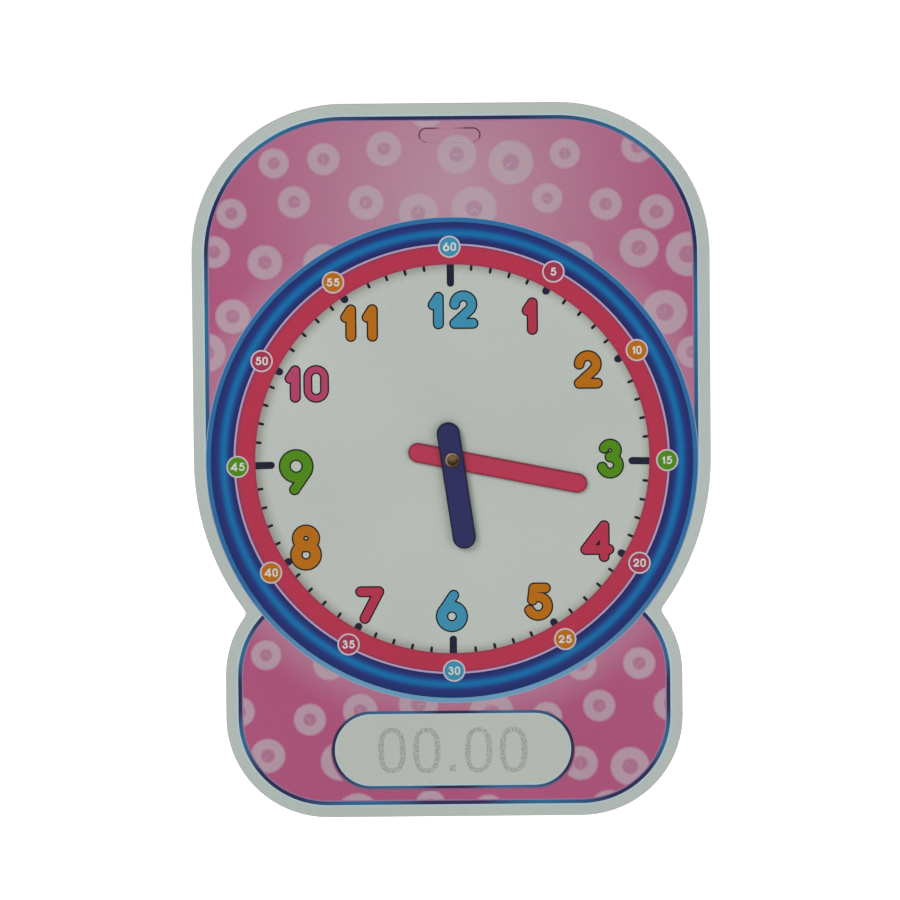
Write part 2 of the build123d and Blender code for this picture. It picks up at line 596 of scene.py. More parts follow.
class Board(Enum):
    """Bare board, paper and metal of the clock."""

    GREYBOARD = PulpBoard("pressed_greyboard_die_cut", "#8E887E", "#6A645B", layer_mm=0.16)
    LINER = PulpBoard("white_liner_paper_uncoated", "#BCBEB8", "#A9AAA3", layer_mm=0.1, fibre_mm=1.3)
    PAPER_EDGE = PulpBoard("coated_paper_cut_edge", "#B4B8B2", "#A0A39D", layer_mm=0.1)
    RED_CARD = PulpBoard("crimson_dyed_card_die_cut", "#862A40", "#681F31", layer_mm=0.12)
    NAVY_CARD = PulpBoard("navy_dyed_card_die_cut", "#22224A", "#161632", layer_mm=0.12)
    # The stain colour also paints the shade on the rivet's lower right
    BRASS = SetBrass("brass_rolled_by_setting_tool", "#7E6C5C", stain="#46321F", tarnish="#6E583C")


Finish = Union[Ink, Board]


@lru_cache(maxsize=None)
def material_of(finish: Finish) -> bpy.types.Material:
    """Return a finish's material, made once and shared by the pieces that have it."""
    return finish.value.build()


def dress(node: str, finish: Finish) -> bpy.types.Object:
    """Give a CAD node that stays in sight its finish.

    Args:
        node: Name of the node.
        finish: What it is made of.

    Returns:
        The node's object.
    """
    piece = frame["nodes"][node]
    piece.data.materials.clear()
    piece.data.materials.append(material_of(finish))
    return piece


def arc(centre: Point, radius: float, start: float, end: float) -> Path:
    """Points along an arc.

    Args:
        centre: Middle of the arc.
        radius: Its radius in millimetres.
        start: Angle of its first point, in degrees counter-clockwise from the right.
        end: Angle of its last point, larger or smaller than start.

    Returns:
        The points, both ends included.
    """
    step = 2 * math.degrees(math.acos(1 - CHORD_SAG / radius))
    count = max(2, math.ceil(abs(end - start) / step))
    angles = [math.radians(start + (end - start) * i / count) for i in range(count + 1)]
    return [(centre[0] + radius * math.cos(a), centre[1] + radius * math.sin(a)) for a in angles]


def disc(centre: Point, radius: float) -> Path:
    """Return the outline of a round spot."""
    return arc(centre, radius, 0, 360)[:-1]


def loop(centre: Point, radius: float) -> list[Path]:
    """Return the two half turns that a pen draws for a closed round."""
    return [arc(centre, radius, 0, 180), arc(centre, radius, 180, 360)]


def pill(centre: Point, width: float, height: float) -> Path:
    """Outline of a lying bar with full round ends.

    Args:
        centre: Middle of the bar.
        width: Its whole length, with the ends.
        height: Its height.

    Returns:
        The closed outline.
    """
    radius, reach = height / 2, (width - height) / 2
    right = arc((centre[0] + reach, centre[1]), radius, -90, 90)
    return right + arc((centre[0] - reach, centre[1]), radius, 90, 270)


def oval(centre: Point, half_w: float, half_h: float, squareness: float) -> Path:
    """Outline of an upright oval.

    Args:
        centre: Middle of the oval.
        half_w: Half of its width.
        half_h: Half of its height.
        squareness: 2 for an ellipse, and more for straighter sides.

    Returns:
        The closed outline.
    """
    reach = max(half_w, half_h)
    power = 2 / squareness
    shares = [[math.copysign(abs(k / reach) ** power, k) for k in spot] for spot in disc((0, 0), reach)]
    return [(centre[0] + half_w * across, centre[1] + half_h * up) for across, up in shares]


def on_dial(radius: float, minute: float) -> Point:
    """Return the place at a radius under a minute mark, about the pivot."""
    angle = math.radians(90 - 6 * minute)
    return radius * math.cos(angle), radius * math.sin(angle)


def pen_stroke(path: Path, radius: float) -> Path:
    """Outline of a round-ended pen stroke along a smooth open path.

    Args:
        path: Middle line of the stroke.
        radius: Half of the pen's width.

    Returns:
        The closed outline.
    """
    headings = []
    for i in range(len(path)):
        (x0, y0), (x1, y1) = path[max(i - 1, 0)], path[min(i + 1, len(path) - 1)]
        headings.append(math.atan2(y1 - y0, x1 - x0))
    right, left = (
        [(x + out * math.sin(a), y - out * math.cos(a)) for (x, y), a in zip(path, headings)]
        for out in (radius, -radius)
    )
    first, last = math.degrees(headings[0]), math.degrees(headings[-1])
    far_end = arc(path[-1], radius, last - 90, last + 90)[1:-1]
    near_end = arc(path[0], radius, first + 90, first + 270)[1:-1]
    return right + far_end + left[::-1] + near_end


# Pen lines of each figure in millimetres about its own middle, as on the large hour numbers
FIGURES: dict[str, list[Path]] = {
    "0": [
        arc((0, 2.55), 3.34, 90, 0) + arc((0, -2.55), 3.34, 0, -90),
        arc((0, 2.55), 3.34, 90, 180) + arc((0, -2.55), 3.34, 180, 270),
    ],
    "1": [[(0.83, 5.4), (0.83, -5.4)], [(0.83, 5.4), (-1.2, 2.3)]],
    "2": [
        arc((-0.2, 2.5), 3.42, 180, -46) + [(-3.66, -5.3)],
        [(-3.66, -5.3), (3.6, -5.3)],
    ],
    "3": [
        arc((0.18, 3.4), 2.54, 160, 35),
        arc((0.18, 3.4), 2.54, 35, -90),
        arc((0.18, -2.6), 3.3, 90, -40),
        arc((0.18, -2.6), 3.3, -40, -165),
    ],
    "4": [
        [(2.83, 6.3), (-4.6, -3.36)],
        [(2.83, 5.8), (-4.2, -3.36)],
        [(-4.6, -3.36), (4.66, -3.36)],
        [(2.8, 6.3), (2.8, -6.3)],
    ],
    "5": [
        [(-1.86, 5.57), (2.74, 5.57)],
        [(-1.86, 5.57), (-2.45, 0.68)],
        arc((-0.2, -1.8), 3.8, 125, -155),
    ],
    "6": [*loop((0.06, -2.27), 4.25), *loop((0.06, -2.27), 3.75), [(0.83, 6.34), (-3.95, -0.8)]],
    "7": [[(-3.69, 5.48), (3.57, 5.48)], [(3.57, 5.48), (-2.09, -5.42)]],
    "8": [
        *loop((0, -3.07), 4.2),
        *loop((0, -3.07), 3.6),
        *loop((0.06, 3.64), 3.48),
        *loop((0.06, 3.64), 2.8),
    ],
    "9": [*loop((-0.06, 2.52), 4.75), *loop((-0.06, 2.52), 4.4), [(4.35, 0.42), (-0.77, -7.06)]],
}
NARROW_PEN = {"0": 0.74}  # share of the pen's width for a figure that isn't drawn with all of it


def write_number(
    text: str, centre: Point, scale: float, pen: float, gap: float
) -> list[tuple[Path, float]]:
    """Set a number's figures side by side.

    Args:
        text: The figures.
        centre: Middle of the number.
        scale: Size against the large hour numbers.
        pen: Half of the pen's width.
        gap: Space between two figures.

    Returns:
        The pen lines, in place, each with its share of the pen's width.
    """
    spans = []
    for figure in text:
        across = [x * scale for line in FIGURES[figure] for x, _ in line]
        half = pen * NARROW_PEN.get(figure, 1.0)
        spans.append((min(across) - half, max(across) + half))
    x = centre[0] - (sum(high - low for low, high in spans) + gap * (len(text) - 1)) / 2
    lines = []
    for figure, (low, high) in zip(text, spans):
        for line in FIGURES[figure]:
            placed = [(x - low + px * scale, centre[1] + py * scale) for px, py in line]
            lines.append((placed, NARROW_PEN.get(figure, 1.0)))
        x += high - low + gap
    return lines


class Area(Enum):
    """Printed grounds that other areas are trimmed to."""

    HEAD = "head"
    FOOT = "foot"
    DIAL = "dial"


@dataclass
class Shape:
    """One printed area: its outline, its ink, the ground that it is trimmed to and the one that it is."""

    outline: Path
    ink: Ink
    within: Optional[Area] = None
    ground: Optional[Area] = None


@dataclass(frozen=True)
class HourNumber:
    """One large number on the dial, with the gap between its figures where it has two."""

    hour: int
    centre: Point
    ink: Ink
    gap: float = 0.0


@dataclass
class Artwork:
    """The whole print, as areas in the order in which they are laid over each other.

    All sizes are in millimetres from the pivot. The panels follow the cut edge of the card.
    """

    dial_r: float = 99.0
    head_rise: float = 139.5
    head_corner_r: float = 56.0
    head_tuck: float = 0.9  # its lower end is flatter than the dial's round, which covers it
    foot_half_w: float = 87.0
    foot_drop: float = 141.0
    foot_top: float = -52.0
    foot_corner_r: float = 36.0
    halo_w: float = 0.7
    line_w: float = 1.5
    mauve_w: float = 0.5

    bubble_rows: range = range(-8, 9)
    bubble_columns: range = range(-5, 6)
    bubble_pitch: float = 24.5
    bubble_squash: float = 0.84  # rows stand closer together than columns
    bubble_sway: float = 3.0
    bubble_sway_turns: tuple[Point, Point] = ((2.3, 1.9), (-2.9, 1.7))  # radians per row and per column
    bubble_radii: tuple[float, ...] = (8.9, 6.4, 7.8, 6.0, 6.9)
    bubble_eye: float = 0.39
    bubble_soft: float = 0.3
    bubble_hands: Point = (0.66, 0.44)  # lengths, in shares of the eye
    bubble_hand_step: float = 7.5  # minutes between the times that the little hands show
    bubble_pen: float = 0.34

    field_centre: Point = (-0.72, -118.6)
    field_w: float = 97.6
    field_h: float = 31.8
    field_line_w: float = 1.2
    field_halo_w: float = 0.6
    field_shade_w: float = 0.9
    field_shade_drop: float = 0.6
    time_centre: Point = (-0.86, -118.85)
    zero_places: tuple[float, ...] = (-24.5, -10.4, 10.4, 24.5)
    zero_outside: tuple[float, float, float] = (5.55, 9.3, 2.45)  # half sides and squareness
    zero_inside: tuple[float, float, float] = (3.2, 7.35, 3.0)
    point_place: Point = (-0.1, -7.45)
    point_half: float = 1.3

    rim_centre: Point = (-0.1, -0.5)  # the rim was printed a little low
    rim_lap: float = 0.1
    rim_r: float = 98.8
    ring_r: float = 97.0
    inner_centre: Point = (-0.24, 0.0)  # the lilac line and the crimson ring lie a little to the left
    lilac_r: float = 87.7
    crimson_r: float = 86.95
    white_r: float = 79.2

    tick_in_r: float = 77.45
    tick_half_w: float = 0.56
    tick_count: int = 4
    tick_pitch: float = 0.95  # minutes; each group of ticks stands apart from the hours beside it
    tick_groups: tuple[float, ...] = (
        2.43, 7.35, 12.53, 17.58, 22.4, 27.5, 32.53, 37.43, 42.15, 47.32, 52.28, 57.26,
    )  # minute in the middle of each group
    stub_in_r: float = 78.0
    stub_half_w: float = 1.5
    stub_minutes: tuple[float, ...] = (4.88, 9.83, 19.98, 24.82, 34.9, 39.68, 49.6, 54.47)
    bar_half_w: float = 1.5
    bars: tuple[Point, ...] = (
        (-0.02, 71.6), (15.17, 72.3), (30.03, 73.5), (44.75, 72.9),
    )  # minute and inner radius of each

    pen: float = 1.68
    outline_w: float = 0.62
    hours: tuple[HourNumber, ...] = (
        HourNumber(12, (0.8, 60.5), Ink.SKY, gap=2.0),
        HourNumber(1, (31.6, 57.9), Ink.ROSE),
        HourNumber(2, (54.9, 35.7), Ink.ORANGE),
        HourNumber(3, (63.5, -0.4), Ink.GREEN),
        HourNumber(4, (58.0, -34.0), Ink.ROSE),
        HourNumber(5, (34.2, -58.5), Ink.ORANGE),
        HourNumber(6, (-0.7, -61.9), Ink.SKY),
        HourNumber(7, (-33.7, -59.3), Ink.ROSE),
        HourNumber(8, (-59.2, -35.5), Ink.ORANGE),
        HourNumber(9, (-62.8, -4.9), Ink.GREEN),
        HourNumber(10, (-58.3, 31.1), Ink.MAGENTA, gap=1.1),
        HourNumber(11, (-37.0, 55.7), Ink.ORANGE, gap=2.0),
    )

    badge_at_r: float = 86.4
    badge_r: float = 4.5
    badge_rim_w: float = 0.6
    badge_minutes: tuple[float, ...] = (
        59.95, 4.75, 9.93, 15.13, 19.97, 24.79, 30.0, 34.9, 39.68, 44.73, 49.67, 54.47,
    )  # where the badges for 60, 5, 10 and so on stand
    badge_inks: tuple[Ink, ...] = (
        Ink.SKY, Ink.BADGE_RED, Ink.ORANGE, Ink.GREEN, Ink.BADGE_RED, Ink.ORANGE,
    )
    badge_scale: float = 0.238
    badge_pen: float = 0.31
    badge_gap: float = 0.5

    slot_rise: float = 131.75
    slot_half_w: float = 9.4
    slot_r: float = 3.1
    cut_inset: float = 0.3
    cut_half_w: float = 0.3
    cut_end_half_w: float = 0.22
    cut_tops: tuple[Point, ...] = ((-9.4, -5.7), (9.4, 5.6))  # runs of painted shadow along the slot's top
    cut_top_ends: tuple[Point, ...] = ((-5.7, -3.4), (5.6, 2.0))  # runs of fainter painted shadow on to the bare bridge
    cut_deep_deg: float = 205.0  # how far round the left end the painted shadow is dark
    cut_faint_deg: float = 262.0

    def __post_init__(self) -> None:
        """Lay every area, from the ground up."""
        self.shapes: list[Shape] = []
        self.lay_panels()
        self.lay_bubbles()
        self.lay_time_field()
        self.lay_rings()
        self.lay_marks()
        self.lay_hours()
        self.lay_badges()
        self.lay_cut()

    def lay(
        self, outline: Path, ink: Ink, within: Optional[Area] = None, ground: Optional[Area] = None
    ) -> None:
        """Lay one area over those before it."""
        self.shapes.append(Shape(outline, ink, within, ground))

    def head(self, inset: float) -> Path:
        """Outline of the head panel, with its lower end behind the dial.

        Args:
            inset: Distance in from its outer line.

        Returns:
            The closed outline.
        """
        side, top, corner = self.dial_r - inset, self.head_rise - inset, self.head_corner_r - inset
        right = arc((side - corner, top - corner), corner, 0, 90)
        left = arc((corner - side, top - corner), corner, 90, 180)
        return right + left + [(x, self.head_tuck * y) for x, y in arc((0, 0), side, 180, 360)]

    def foot(self, inset: float) -> Path:
        """Outline of the foot panel.

        Args:
            inset: Distance in from its outer line.

        Returns:
            The closed outline.
        """
        corner = self.foot_corner_r - inset
        x = self.foot_half_w - self.foot_corner_r
        low, high = self.foot_corner_r - self.foot_drop, self.foot_top - self.foot_corner_r
        corners = (((x, high), 0), ((-x, high), 90), ((-x, low), 180), ((x, low), 270))
        return [point for centre, turn in corners for point in arc(centre, corner, turn, turn + 90)]

    def lay_panels(self) -> None:
        """Lay the pink foot and head panels with their lines."""
        panels = ((Area.FOOT, self.foot, Ink.FOOT_LINE), (Area.HEAD, self.head, Ink.HEAD_LINE))
        for area, panel, line in panels:
            self.lay(panel(-self.halo_w), Ink.LINE_HALO)
            self.lay(panel(0), line)
            self.lay(panel(self.line_w), Ink.MAUVE)
            self.lay(panel(self.line_w + self.mauve_w), Ink.PINK, ground=area)

    def lay_bubbles(self) -> None:
        """Lay a loose field of pale little clocks over the pink, trimmed by the panels' lines."""
        # Sizes and times go by whole steps per row and per column, so that neighbours there differ
        pitch, sway, soft = self.bubble_pitch, self.bubble_sway, self.bubble_soft
        for row, column in product(self.bubble_rows, self.bubble_columns):
            across, up = (a * row + b * column for a, b in self.bubble_sway_turns)
            x = pitch * (column + 0.5 * (row % 2)) + sway * math.sin(across)
            y = pitch * self.bubble_squash * row + sway * math.cos(up)
            radius = self.bubble_radii[(2 * row + 3 * column) % len(self.bubble_radii)]
            if math.hypot(x, y) + radius < self.dial_r:
                continue
            panel = Area.HEAD if y > 0 else Area.FOOT
            eye = self.bubble_eye * radius
            for size, ink in ((radius, Ink.PALE), (eye, Ink.EYE)):
                self.lay(disc((x, y), size + soft), Ink.PALE_EDGE, panel)
                self.lay(disc((x, y), size - soft), ink, panel)
            for share, turn in zip(self.bubble_hands, (7 * row + 3 * column, row - column)):
                tip = on_dial(share * eye, self.bubble_hand_step * turn)
                hand = [(x, y), (x + tip[0], y + tip[1])]
                self.lay(pen_stroke(hand, self.bubble_pen), Ink.PALE_EDGE, panel)

    def lay_time_field(self) -> None:
        """Lay the wipe-clean field with its example time in dots."""
        (x, y), width, height = self.field_centre, self.field_w, self.field_h
        low, more = y - self.field_shade_drop, self.field_shade_w
        self.lay(pill((x, low), width + more, height + more), Ink.FIELD_SHADE)
        insets = (0.0, self.field_line_w, self.field_line_w + self.field_halo_w)
        for inset, ink in zip(insets, (Ink.FIELD_LINE, Ink.LINE_HALO, Ink.FIELD)):
            self.lay(pill((x, y), width - 2 * inset, height - 2 * inset), ink)
        x, y = self.time_centre
        for at in self.zero_places:
            self.lay(oval((x + at, y), *self.zero_outside), Ink.DOTTED)
            self.lay(oval((x + at, y), *self.zero_inside), Ink.FIELD)
        x, y, half = x + self.point_place[0], y + self.point_place[1], self.point_half
        corners = ((-half, -half), (half, -half), (half, half), (-half, half))
        self.lay([(x + across, y + up) for across, up in corners], Ink.DOTTED)

    def lay_rings(self) -> None:
        """Lay the rings of the dial, each over the larger one before it."""
        self.lay(disc(self.rim_centre, self.dial_r + self.rim_lap), Ink.RIM_HALO)
        self.lay(disc(self.rim_centre, self.rim_r), Ink.RIM_BLUE)
        self.lay(disc(self.rim_centre, self.ring_r), Ink.RING)
        self.lay(disc(self.inner_centre, self.lilac_r), Ink.LILAC)
        self.lay(disc(self.inner_centre, self.crimson_r), Ink.CRIMSON)
        self.lay(disc((0, 0), self.white_r), Ink.DIAL, ground=Area.DIAL)

    def lay_marks(self) -> None:
        """Lay the minute ticks, the round five-minute stubs and the bars of the quarters."""
        steps = [self.tick_pitch * (i - (self.tick_count - 1) / 2) for i in range(self.tick_count)]
        ticks = [middle + step for middle in self.tick_groups for step in steps]
        marks = [(minute, self.tick_in_r, self.tick_half_w, Ink.BLACK) for minute in ticks]
        marks += [(minute, self.stub_in_r, self.stub_half_w, Ink.BAR) for minute in self.stub_minutes]
        marks += [(minute, inner, self.bar_half_w, Ink.BAR) for minute, inner in self.bars]
        for minute, inner, half, ink in marks:
            ends = [on_dial(inner, minute), on_dial(self.white_r + half, minute)]
            self.lay(pen_stroke(ends, half), ink, Area.DIAL)

    def lay_hours(self) -> None:
        """Lay the large hour numbers, each with a dark outline under its colour."""
        for number in self.hours:
            wide_pen = self.pen + self.outline_w
            lines = write_number(str(number.hour), number.centre, 1.0, wide_pen, number.gap)
            for extra, coat in ((self.outline_w, Ink.OUTLINE), (0.0, number.ink)):
                for line, share in lines:
                    self.lay(pen_stroke(line, share * self.pen + extra), coat)

    def lay_badges(self) -> None:
        """Lay the round badges on the rings, which count the minutes in fives."""
        for step, minute in enumerate(self.badge_minutes):
            centre = on_dial(self.badge_at_r, minute)
            ink = self.badge_inks[step % len(self.badge_inks)]
            self.lay(disc(centre, self.badge_r), Ink.BADGE_RIM)
            self.lay(disc(centre, self.badge_r - self.badge_rim_w), ink)
            text = str(5 * step or 60)
            for line, _ in write_number(text, centre, self.badge_scale, self.badge_pen, self.badge_gap):
                self.lay(pen_stroke(line, self.badge_pen), Ink.BADGE_FIGURE)

    def lay_cut(self) -> None:
        """Lay the dark line along the die cut of the hang tab, a painted shadow of the narrow cut."""
        x, y, radius = self.slot_half_w, self.slot_rise, self.slot_r - self.cut_inset
        deep, faint = self.cut_deep_deg, self.cut_faint_deg
        pale = [arc((-x, y), radius, faint, deep), arc((x, y), radius, 180 - deep, 180 - faint)]
        dark = [arc((-x, y), radius, deep, 90), arc((x, y), radius, 90, 180 - deep)]
        pale += [[(start, y + radius), (end, y + radius)] for start, end in self.cut_top_ends]
        dark += [[(start, y + radius), (end, y + radius)] for start, end in self.cut_tops]
        for line in pale:
            self.lay(pen_stroke(line, self.cut_end_half_w), Ink.CUT_END)
        for line in dark:
            self.lay(pen_stroke(line, self.cut_half_w), Ink.CUT)


def front_outlines(node: str) -> list[Path]:
    """Read the outlines of a flat CAD node's front face from its mesh.

    Args:
        node: Name of the node.

    Returns:
        The outlines in millimetres from the pivot, the widest first and counter-clockwise, holes clockwise.
    """
    mesh = bmesh.new()
    mesh.from_mesh(frame["nodes"][node].data)
    bmesh.ops.remove_doubles(mesh, verts=mesh.verts, dist=SAME_PLACE * MM)
    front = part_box(node)[0].y
    cap = [face for face in mesh.faces if all(abs(v.co.y - front) < SAME_PLACE * MM for v in face.verts)]
    corners = [corner for face in cap for corner in face.loops]
    inner = set(cap)
    onward: dict[Point, Point] = {}
    for corner in corners:
        if not any(other in inner for other in corner.edge.link_faces if other is not corner.face):
            ends = [corner.vert.co, corner.link_loop_next.vert.co]
            start, end = [(round(p.x / MM, 4), round((p.z - PIVOT.z) / MM, 4)) for p in ends]
            onward[start] = end
    mesh.free()
    outlines = []
    while onward:
        path = [next(iter(onward))]
        while path[-1] in onward:
            path.append(onward.pop(path[-1]))
        outlines.append(path[:-1])
    return sorted(outlines, key=lambda path: -max(x for x, _ in path))


def mitre(before: Point, here: Point, after: Point) -> Vector:
    """Find how a corner moves when the edges beside it move by one unit to the left of their run.

    Args:
        before: The point before the corner.
        here: The corner.
        after: The point after the corner.

    Returns:
        The corner's move.
    """
    runs = (Vector(here) - Vector(before), Vector(after) - Vector(here))
    left, next_left = (Vector((-run.y, run.x)).normalized() for run in runs)
    return (left + next_left) / max(1 + left.dot(next_left), MITRE_LIMIT)


def moved_edge(path: Path, inward: float) -> Path:
    """Move a closed outline sideways, to the left of its run.

    Args:
        path: The outline.
        inward: How far, in millimetres.

    Returns:
        The outline with as many points.
    """
    moved = []
    for before, here, after in zip([path[-1], *path[:-1]], path, [*path[1:], path[0]]):
        move = mitre(before, here, after) * inward
        moved.append((here[0] + move.x, here[1] + move.y))
    return moved


@dataclass
class PrintedSheet:
    """Paper and film of one piece as one closed sheet, printed in front, with an edge rounded by the die."""

    name: str
    film: str
    paper: str
    body: str
    slot: str
    ground: Ink
    artwork: Optional[Artwork] = None
    rim: Board = Board.PAPER_EDGE
    # A darker ink in a band along the outer edge, used on the hands as painted shade of the rounded edge
    edge_ink: Optional[Ink] = None
    edge_ink_w: float = 0.5
    edge_round: float = 0.12
    edge_steps: int = 3
    slot_overhang: float = 0.3
    crease_w: float = 0.5
    map_low: Point = (0.005, 0.03)  # place of the front on the map that colours are baked on
    map_size: Point = (0.99, 0.965)
    plain_low: Point = (0.005, 0.005)  # place on it that all plain faces share
    plain_size: Point = (0.02, 0.015)

    def over_slot(self, path: Path) -> Path:
        """Bring the sheet's edge in over the wider cut in the board, except along the crease.

        Args:
            path: One outline of the sheet. Only those round the hang slot lie all above the pivot.

        Returns:
            The outline, moved where it goes round the hang slot.
        """
        low = min(y for _, y in path)
        if low < 0:
            return path
        moved = moved_edge(path, -self.slot_overhang)
        rise = [min((y - low) / self.crease_w, 1.0) for _, y in path]
        return [(x + (mx - x) * k, y + (my - y) * k) for (x, y), (mx, my), k in zip(path, moved, rise)]

    def trimmed_print(self, outlines: list[Path]) -> tuple[list[Vector], list[tuple[int, ...]], list[Ink]]:
        """Divide the front into areas of one ink each.

        Args:
            outlines: Edge of the flat front and of its holes.

        Returns:
            The points, the triangles, and each triangle's ink.
        """
        shapes = [Shape(outlines[0], self.edge_ink or self.ground)]
        shapes += [Shape(hole[::-1], self.ground) for hole in outlines[1:]]
        # On the hands this band is painted shade along the rounded edge
        if self.edge_ink:
            shapes.append(Shape(moved_edge(outlines[0], self.edge_ink_w), self.ground))
        if self.artwork:
            shapes += self.artwork.shapes
        points, faces = [], []
        for shape in shapes:
            faces.append(list(range(len(points), len(points) + len(shape.outline))))
            points += [Vector(p) for p in shape.outline]
        # The 0 asks for triangles over the whole hull, and True for the areas that cover each of them
        flat, _, triangles, _, _, covers = delaunay_2d_cdt(points, [], faces, 0, SAME_CORNER, True)
        holes = set(range(1, len(outlines)))
        kept, inks = [], []
        for triangle, cover in zip(triangles, covers):
            if 0 not in cover or holes & set(cover):
                continue
            layers = [shapes[i] for i in sorted(cover, reverse=True)]
            grounds = {layer.ground for layer in layers}
            top = next(layer for layer in layers if layer.within is None or layer.within in grounds)
            kept.append(tuple(triangle))
            inks.append(top.ink)
        return flat, kept, inks

    def build(self) -> bpy.types.Object:
        """Make the sheet.

        Returns:
            The new piece, dressed and riding on its body.
        """
        front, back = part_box(self.film)[0].y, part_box(self.paper)[1].y
        edges = [self.over_slot(path) for path in front_outlines(self.film)]
        edges = [moved_edge(path, self.edge_round) for path in edges]
        points, triangles, inks = self.trimmed_print(edges)
        palette: list[Finish] = [self.rim, *dict.fromkeys(inks)]
        mesh = bmesh.new()
        used = sorted({i for triangle in triangles for i in triangle})
        corner = {i: mesh.verts.new((points[i].x * MM, front, points[i].y * MM + PIVOT.z)) for i in used}
        for (a, b, c), ink in zip(triangles, inks):
            mesh.faces.new((corner[a], corner[b], corner[c])).material_index = palette.index(ink)
        self.close(mesh, front, back)
        self.chart(mesh, front)
        data = bpy.data.meshes.new(self.name)
        mesh.to_mesh(data)
        mesh.free()
        for finish in palette:
            data.materials.append(material_of(finish))
        piece = bpy.data.objects.new(self.name, data)
        bpy.context.scene.collection.objects.link(piece)
        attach(piece, self.body)
        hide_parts(self.paper, self.film)
        return piece

    def close(self, mesh: bmesh.types.BMesh, front: float, back: float) -> None:
        """Round the front's edges over, bring the sides down to the back, and close it.

        Args:
            mesh: The flat front, which is completed in place.
            front: Depth of the front.
            back: Depth of the back.
        """
        border = [edge.link_loops[0] for edge in mesh.edges if edge.is_boundary]
        onward = {corner.vert: corner.link_loop_next.vert for corner in border}
        inks = {corner.vert: corner.face.material_index for corner in border}
        behind = {after: before for before, after in onward.items()}
        outward = {}
        for vert, after in onward.items():
            inward = mitre(*((v.co.x, v.co.z) for v in (behind[vert], vert, after)))
            outward[vert] = Vector((-inward.x, 0, -inward.y))
        radius = self.edge_round * MM
        turns = [math.radians(90 * i / self.edge_steps) for i in range(1, self.edge_steps + 1)]
        levels = [(radius * math.sin(t), front + radius * (1 - math.cos(t))) for t in turns]
        rings = [{vert: vert for vert in onward}]
        for reach, depth in [*levels, (radius, back)]:
            places = {v: v.co + outward[v] * reach for v in onward}
            rings.append({v: mesh.verts.new((p.x, depth, p.z)) for v, p in places.items()})
        for near, far in zip(rings, rings[1:]):
            for vert, after in onward.items():
                side = mesh.faces.new((near[after], near[vert], far[vert], far[after]))
                side.smooth = far is not rings[-1]
                side.material_index = inks[vert] if side.smooth else 0
        rim = [mesh.edges.get((rings[-1][a], rings[-1][b])) for a, b in onward.items()]
        bmesh.ops.triangle_fill(mesh, use_beauty=True, edges=rim, normal=(0, 1, 0))

    def chart(self, mesh: bmesh.types.BMesh, front: float) -> None:
        """Lay out the map that colours are baked on: the front fills it, and plain faces share a corner.

        Args:
            mesh: The closed sheet.
            front: Depth of the front.
        """
        low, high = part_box(self.film)
        layer = mesh.loops.layers.uv.new("OFBake")
        (left, bottom), (width, height) = self.plain_low, self.plain_size
        right, top = left + width, bottom + height
        patch = ((left, bottom), (right, bottom), (right, top), (left, top))
        (left, bottom), (width, height) = self.map_low, self.map_size
        front_end = front + (self.edge_round + SAME_PLACE) * MM
        for face in mesh.faces:
            printed = all(vert.co.y < front_end for vert in face.verts)
            for corner, plain in zip(face.loops, patch):
                across = (corner.vert.co.x - low.x) / (high.x - low.x)
                up = (corner.vert.co.z - low.z) / (high.z - low.z)
                corner[layer].uv = (left + width * across, bottom + height * up) if printed else plain


@dataclass
class CardPiece:
    """The die-cut card, or the hang tab that is cut out of it: board, liner, print and film."""

    body: str
    artwork: Artwork
    name: str
    film: str
    paper: str
    board: str
    liner: str
    edge_round: float = 0.12

    def build(self) -> list[bpy.types.Object]:
        """Make the printed face, and finish the board and the liner behind it.

        Returns:
            The pieces.
        """
        sheet = PrintedSheet(
            self.name, self.film, self.paper, self.body, "printed_paper", Ink.SHEET,
            artwork=self.artwork, edge_round=self.edge_round,
        )
        return [sheet.build(), dress(self.board, Board.GREYBOARD), dress(self.liner, Board.LINER)]


@dataclass
class Hand:
    """One strip hand: card with a printed and filmed face."""

    body: str
    ink: Ink
    # Darker ink along the hand's edge, painted shade of its rounded edge
    edge_ink: Ink
    card: Board
    slot: str
    edge_round: float = 0.2

    def build(self) -> list[bpy.types.Object]:
        """Make the hand's printed face and finish its card.

        Returns:
            The hand's pieces.
        """
        film, paper = f"{self.body}_film", f"{self.body}_face"
        sheet = PrintedSheet(
            f"printed_{paper}", film, paper, self.body, self.slot, self.ink,
            rim=self.card, edge_ink=self.edge_ink, edge_round=self.edge_round,
        )
        return [sheet.build(), dress(f"{self.body}_core", self.card)]


@dataclass
class Rivet:
    """The hollow rivet that the hands turn on."""

    metal: Board = Board.BRASS

    def build(self) -> list[bpy.types.Object]:
        """Finish the rivet, whose CAD shape is right, and return it alone."""
        return [dress("rivet", self.metal)]


def seen_directly(tree: Tree) -> Socket:
    """Tell what is looked at from what only lights the object.

    Args:
        tree: The node tree of a material or of the world.

    Returns:
        1 for what the camera, a mirror or glass shows, and 0 for light on the object.
    """
    paths = add_node(tree, "LightPath").node.outputs
    two = {0: paths["Is Camera Ray"], 1: paths["Is Glossy Ray"]}
    most = {0: add_node(tree, "Math", two, operation="MAXIMUM"), 1: paths["Is Transmission Ray"]}
    return add_node(tree, "Math", most, operation="MAXIMUM")


@dataclass(frozen=True)
class Lamp:
    """A soft square lamp: where it stands from the card's middle, its side and its power."""

    name: str
    place: tuple[float, float, float]
    side: float
    watts: float


